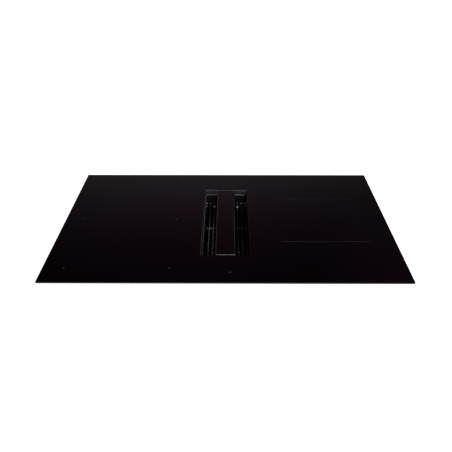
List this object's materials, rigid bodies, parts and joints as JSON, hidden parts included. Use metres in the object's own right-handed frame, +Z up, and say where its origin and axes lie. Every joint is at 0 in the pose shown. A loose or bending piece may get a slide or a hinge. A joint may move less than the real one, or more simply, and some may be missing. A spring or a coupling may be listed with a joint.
{
  "type": "downdraft induction cooktop",
  "caption": "Black glass induction hob with a central air slot, a lift-off flap and grease filter, and a blower and duct below.",
  "frame": {"origin": "centre of the glass in plan, at the level of the feet's undersides", "axes": "+X to the user's right, +Y to the rear, +Z up; the user stands at -Y"},
  "size_m": [0.83, 0.52, 0.21],
  "materials": {
    "black_glass": "polished black glass ceramic with ground edges",
    "anodised": "dark satin anodised",
    "filter_steel": "dark brushed stainless steel",
    "filter_mesh": "black-coated wire mesh pack",
    "galvanised": "galvanised sheet with spangle",
    "motor_metal": "black painted housing",
    "screw_steel": "bright zinc plated",
    "black_plastic": "moulded, fine grain",
    "grey_plastic": "moulded, fine grain",
    "seal_rubber": "soft closed-cell foam and rubber",
    "coil_copper": "wound litz wire, varnished",
    "mica": "pressed mica sheet",
    "circuit_board": "green circuit board",
    "heat_sink": "extruded, bare"
  },
  "bodies": {
    "cooktop": {"glass_top": "black_glass", "rim_seal": "seal_rubber", "air_well": "black_plastic", "plenum_shell": "galvanised", "blower_deck": "galvanised", "blower_scroll": "black_plastic", "inlet_ring": "black_plastic", "blower_motor": "motor_metal", "outlet_spigot": "black_plastic", "damper_pin": "screw_steel", "touch_holder": "black_plastic", "touch_board": "circuit_board", "light_guide": "black_plastic", "driver_box": "grey_plastic", "driver_board": "circuit_board", "terminal_box": "grey_plastic", "terminal_cover": "grey_plastic", "terminal_block": "mica", "cable_gland": "black_plastic", "bay_tray_left": "galvanised", "coil_plate_left": "anodised", "mica_sheet_left": "mica", "power_board_left": "circuit_board", "heat_sink_left": "heat_sink", "cooling_fan_frame_left": "black_plastic", "coil_left_front": "coil_copper", "coil_sensor_left_front": "black_plastic", "clamp_screw_left_front": "screw_steel", "coil_left_rear": "coil_copper", "coil_sensor_left_rear": "black_plastic", "clamp_screw_left_rear": "screw_steel", "bay_tray_right": "galvanised", "coil_plate_right": "anodised", "mica_sheet_right": "mica", "power_board_right": "circuit_board", "heat_sink_right": "heat_sink", "cooling_fan_frame_right": "black_plastic", "coil_right_front": "coil_copper", "coil_sensor_right_front": "black_plastic", "clamp_screw_right_front": "screw_steel", "coil_right_rear": "coil_copper", "coil_sensor_right_rear": "black_plastic", "clamp_screw_right_rear": "screw_steel"},
    "flap": {"flap_glass": "black_glass", "flap_frame": "anodised", "flap_foot_front": "black_plastic", "flap_foot_rear": "black_plastic"},
    "filter": {"filter_frame": "filter_steel", "filter_grate": "filter_steel", "filter_mesh": "filter_mesh"},
    "impeller": {"blower_impeller": "grey_plastic"},
    "fan_left": {"cooling_fan_rotor_left": "black_plastic"},
    "fan_right": {"cooling_fan_rotor_right": "black_plastic"},
    "basin": {"drip_basin": "grey_plastic", "basin_seal": "seal_rubber"},
    "damper": {"damper_flap": "black_plastic"},
    "clamp_left_front": {"clamp_arm_left_front": "galvanised"},
    "clamp_left_rear": {"clamp_arm_left_rear": "galvanised"},
    "clamp_right_front": {"clamp_arm_right_front": "galvanised"},
    "clamp_right_rear": {"clamp_arm_right_rear": "galvanised"}
  },
  "joints": [
    {"name": "filter_lift", "type": "slide", "parent": "cooktop", "child": "filter", "axis": [0, 0, 1], "range_m": [0, 0.09]},
    {"name": "flap_lift", "type": "slide", "parent": "filter", "child": "flap", "axis": [0, 0, 1], "range_m": [0, 0.06]},
    {"name": "impeller_spin", "type": "hinge", "parent": "cooktop", "child": "impeller", "pos_m": [0.1879, -0.01, 0.1], "axis": [0, 0, 1], "continuous": true},
    {"name": "fan_left_spin", "type": "hinge", "parent": "cooktop", "child": "fan_left", "pos_m": [-0.1153, -0.06, 0.16], "axis": [0, 0, 1], "continuous": true},
    {"name": "fan_right_spin", "type": "hinge", "parent": "cooktop", "child": "fan_right", "pos_m": [0.1153, -0.06, 0.16], "axis": [0, 0, 1], "continuous": true},
    {"name": "basin_drop", "type": "slide", "parent": "cooktop", "child": "basin", "axis": [0, 0, -1], "range_m": [0, 0.045]},
    {"name": "damper_swing", "type": "hinge", "parent": "cooktop", "child": "damper", "pos_m": [0.2279, 0.21, 0.1324], "axis": [1, 0, 0], "range_deg": [0, 70]},
    {"name": "clamp_turn_left_front", "type": "hinge", "parent": "cooktop", "child": "clamp_left_front", "pos_m": [-0.381, -0.15, 0.16], "axis": [0, 0, 1], "range_deg": [0, 90]},
    {"name": "clamp_turn_left_rear", "type": "hinge", "parent": "cooktop", "child": "clamp_left_rear", "pos_m": [-0.381, 0.15, 0.16], "axis": [0, 0, -1], "range_deg": [0, 90]},
    {"name": "clamp_turn_right_front", "type": "hinge", "parent": "cooktop", "child": "clamp_right_front", "pos_m": [0.381, -0.15, 0.16], "axis": [0, 0, -1], "range_deg": [0, 90]},
    {"name": "clamp_turn_right_rear", "type": "hinge", "parent": "cooktop", "child": "clamp_right_rear", "pos_m": [0.381, 0.15, 0.16], "axis": [0, 0, 1], "range_deg": [0, 90]}
  ]
}
